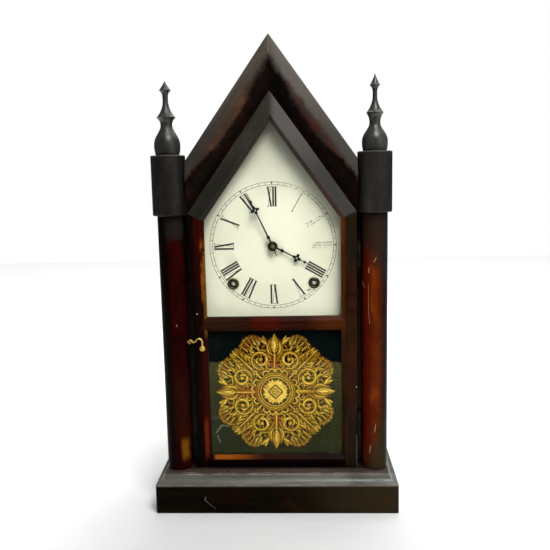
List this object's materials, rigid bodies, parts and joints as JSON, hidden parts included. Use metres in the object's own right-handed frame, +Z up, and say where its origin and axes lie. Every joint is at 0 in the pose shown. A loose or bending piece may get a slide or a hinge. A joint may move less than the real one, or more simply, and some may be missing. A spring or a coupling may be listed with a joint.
{
  "type": "gothic mantel clock",
  "caption": "Steeple-shaped wooden mantel clock with turned finials and columns, a glazed hinged door, a painted dial, a pendulum and a striking spring movement.",
  "frame": {"origin": "middle of the underside of the base", "axes": "+Z up, the dial faces -Y, +X to the right seen from the front"},
  "size_m": [0.26, 0.106, 0.5],
  "materials": {
    "dark_wood": "aged dark shellac",
    "rosewood_veneer": "figured veneer, old polish",
    "pine": "bare aged softwood",
    "dial_paint": "worn matt cream paint",
    "clear_glass": "clear",
    "painted_tablet": "painted behind",
    "aged_brass": "tarnished",
    "brass": "satin",
    "steel": "plain",
    "black_steel": "blackened",
    "gong_iron": "blackened"
  },
  "bodies": {
    "case": {"plinth_front": "dark_wood", "plinth_sides": "dark_wood", "plinth_back": "pine", "corner_blocks": "pine", "cove_mouldings": "dark_wood", "floor_board": "dark_wood", "side_boards": "dark_wood", "roof_boards": "dark_wood", "back_board": "pine", "face_frame": "dark_wood", "gable_mouldings": "rosewood_veneer", "columns": "rosewood_veneer", "capitals": "dark_wood", "finials": "dark_wood", "dial_strips": "pine", "dial": "dial_paint", "winding_grommets": "aged_brass", "dial_tacks": "aged_brass", "hinge_case_leaves": "aged_brass", "hinge_pins": "aged_brass", "catch_pin": "aged_brass", "front_plate": "brass", "back_plate": "brass", "plate_pillars": "brass", "gong_stand": "gong_iron", "gong_coil": "gong_iron", "suspension_cock": "brass", "suspension_spring": "steel", "mainsprings": "steel"},
    "door": {"door_stile_left": "rosewood_veneer", "door_stile_right": "rosewood_veneer", "door_gable_rail_left": "dark_wood", "door_gable_rail_right": "dark_wood", "door_mid_rail": "rosewood_veneer", "door_bottom_rail": "rosewood_veneer", "dial_glass": "clear_glass", "tablet_glass": "painted_tablet", "glazing_strips": "dark_wood", "hinge_door_leaves": "aged_brass", "latch_screw": "aged_brass"},
    "latch": {"latch_hook": "aged_brass"},
    "minute_hand": {"minute_hand": "black_steel", "hand_pin": "aged_brass"},
    "hour_hand": {"hour_hand": "black_steel"},
    "minute_wheel": {"minute_wheel": "brass"},
    "escape_wheel": {"escape_wheel": "brass"},
    "fourth_wheel": {"fourth_wheel": "brass"},
    "centre_wheel": {"centre_wheel": "brass"},
    "time_second_wheel": {"time_second_wheel": "brass"},
    "time_great_wheel": {"time_great_wheel": "brass"},
    "verge": {"verge": "steel"},
    "pendulum": {"pendulum_rod": "steel", "pendulum_bob": "brass"},
    "time_winding_arbor": {"time_winding_arbor": "steel"},
    "strike_winding_arbor": {"strike_winding_arbor": "steel"},
    "fly": {"fly": "brass"},
    "strike_third_wheel": {"strike_third_wheel": "brass"},
    "strike_second_wheel": {"strike_second_wheel": "brass"},
    "strike_great_wheel": {"strike_great_wheel": "brass"},
    "hammer": {"hammer": "steel"}
  },
  "joints": [
    {"name": "door_hinge", "type": "hinge", "parent": "case", "child": "door", "pos_m": [0.0898, -0.0316, 0.18], "axis": [0, 0, 1], "range_deg": [0, 100]},
    {"name": "latch_turn", "type": "hinge", "parent": "door", "child": "latch", "pos_m": [-0.0768, -0.0336, 0.1777], "axis": [0, 1, 0], "range_deg": [0, 75]},
    {"name": "minute_hand_turn", "type": "hinge", "parent": "case", "child": "minute_hand", "pos_m": [0, 0, 0.285], "axis": [0, 1, 0], "continuous": true},
    {"name": "hour_hand_turn", "type": "hinge", "parent": "case", "child": "hour_hand", "pos_m": [0, 0, 0.285], "axis": [0, 1, 0], "continuous": true},
    {"name": "minute_wheel_turn", "type": "hinge", "parent": "case", "child": "minute_wheel", "pos_m": [0.015, 0, 0.285], "axis": [0, 1, 0], "continuous": true},
    {"name": "escape_wheel_turn", "type": "hinge", "parent": "case", "child": "escape_wheel", "pos_m": [0, 0, 0.3158], "axis": [0, 1, 0], "continuous": true},
    {"name": "fourth_wheel_turn", "type": "hinge", "parent": "case", "child": "fourth_wheel", "pos_m": [0.0152, 0, 0.30319], "axis": [0, 1, 0], "continuous": true},
    {"name": "centre_wheel_turn", "type": "hinge", "parent": "case", "child": "centre_wheel", "pos_m": [0, 0, 0.285], "axis": [0, 1, 0], "continuous": true},
    {"name": "time_second_wheel_turn", "type": "hinge", "parent": "case", "child": "time_second_wheel", "pos_m": [0.01666, 0, 0.26569], "axis": [0, 1, 0], "continuous": true},
    {"name": "time_great_wheel_turn", "type": "hinge", "parent": "case", "child": "time_great_wheel", "pos_m": [0.0435, 0, 0.2445], "axis": [0, 1, 0], "continuous": true},
    {"name": "pendulum_swing", "type": "hinge", "parent": "case", "child": "pendulum", "pos_m": [0, 0, 0.338], "axis": [0, 1, 0], "range_deg": [-4.5, 4.5]},
    {"name": "verge_rock", "type": "hinge", "parent": "case", "child": "verge", "pos_m": [0, 0, 0.338], "axis": [0, 1, 0], "range_deg": [-4.6, 4.6]},
    {"name": "time_winding", "type": "hinge", "parent": "case", "child": "time_winding_arbor", "pos_m": [0.0435, 0, 0.2445], "axis": [0, 1, 0], "range_deg": [0, 1800]},
    {"name": "strike_winding", "type": "hinge", "parent": "case", "child": "strike_winding_arbor", "pos_m": [-0.0435, 0, 0.2445], "axis": [0, 1, 0], "range_deg": [0, 1800]},
    {"name": "fly_turn", "type": "hinge", "parent": "case", "child": "fly", "pos_m": [-0.03987, 0, 0.31829], "axis": [0, 1, 0], "continuous": true},
    {"name": "strike_third_wheel_turn", "type": "hinge", "parent": "case", "child": "strike_third_wheel", "pos_m": [-0.03669, 0, 0.30026], "axis": [0, 1, 0], "continuous": true},
    {"name": "strike_second_wheel_turn", "type": "hinge", "parent": "case", "child": "strike_second_wheel", "pos_m": [-0.04944, 0, 0.27818], "axis": [0, 1, 0], "continuous": true},
    {"name": "strike_great_wheel_turn", "type": "hinge", "parent": "case", "child": "strike_great_wheel", "pos_m": [-0.0435, 0, 0.2445], "axis": [0, 1, 0], "continuous": true},
    {"name": "hammer_lift", "type": "hinge", "parent": "case", "child": "hammer", "pos_m": [-0.02, 0, 0.217], "axis": [0, 1, 0], "range_deg": [0, 12], "stiffness_Nm_per_rad": 0.02, "springref_deg": -5.73}
  ],
  "couplings": [
    {"joint": "hour_hand_turn", "follows": "minute_hand_turn", "ratio": 0.083333},
    {"joint": "minute_wheel_turn", "follows": "minute_hand_turn", "ratio": -0.33333},
    {"joint": "fourth_wheel_turn", "follows": "escape_wheel_turn", "ratio": -0.097222},
    {"joint": "centre_wheel_turn", "follows": "escape_wheel_turn", "ratio": 0.0094522},
    {"joint": "time_second_wheel_turn", "follows": "escape_wheel_turn", "ratio": -0.0012603},
    {"joint": "time_great_wheel_turn", "follows": "escape_wheel_turn", "ratio": 0.00019095},
    {"joint": "verge_rock", "follows": "pendulum_swing", "ratio": 1},
    {"joint": "strike_third_wheel_turn", "follows": "fly_turn", "ratio": -0.12963},
    {"joint": "strike_second_wheel_turn", "follows": "fly_turn", "ratio": 0.017284},
    {"joint": "strike_great_wheel_turn", "follows": "fly_turn", "ratio": -0.0026188}
  ]
}
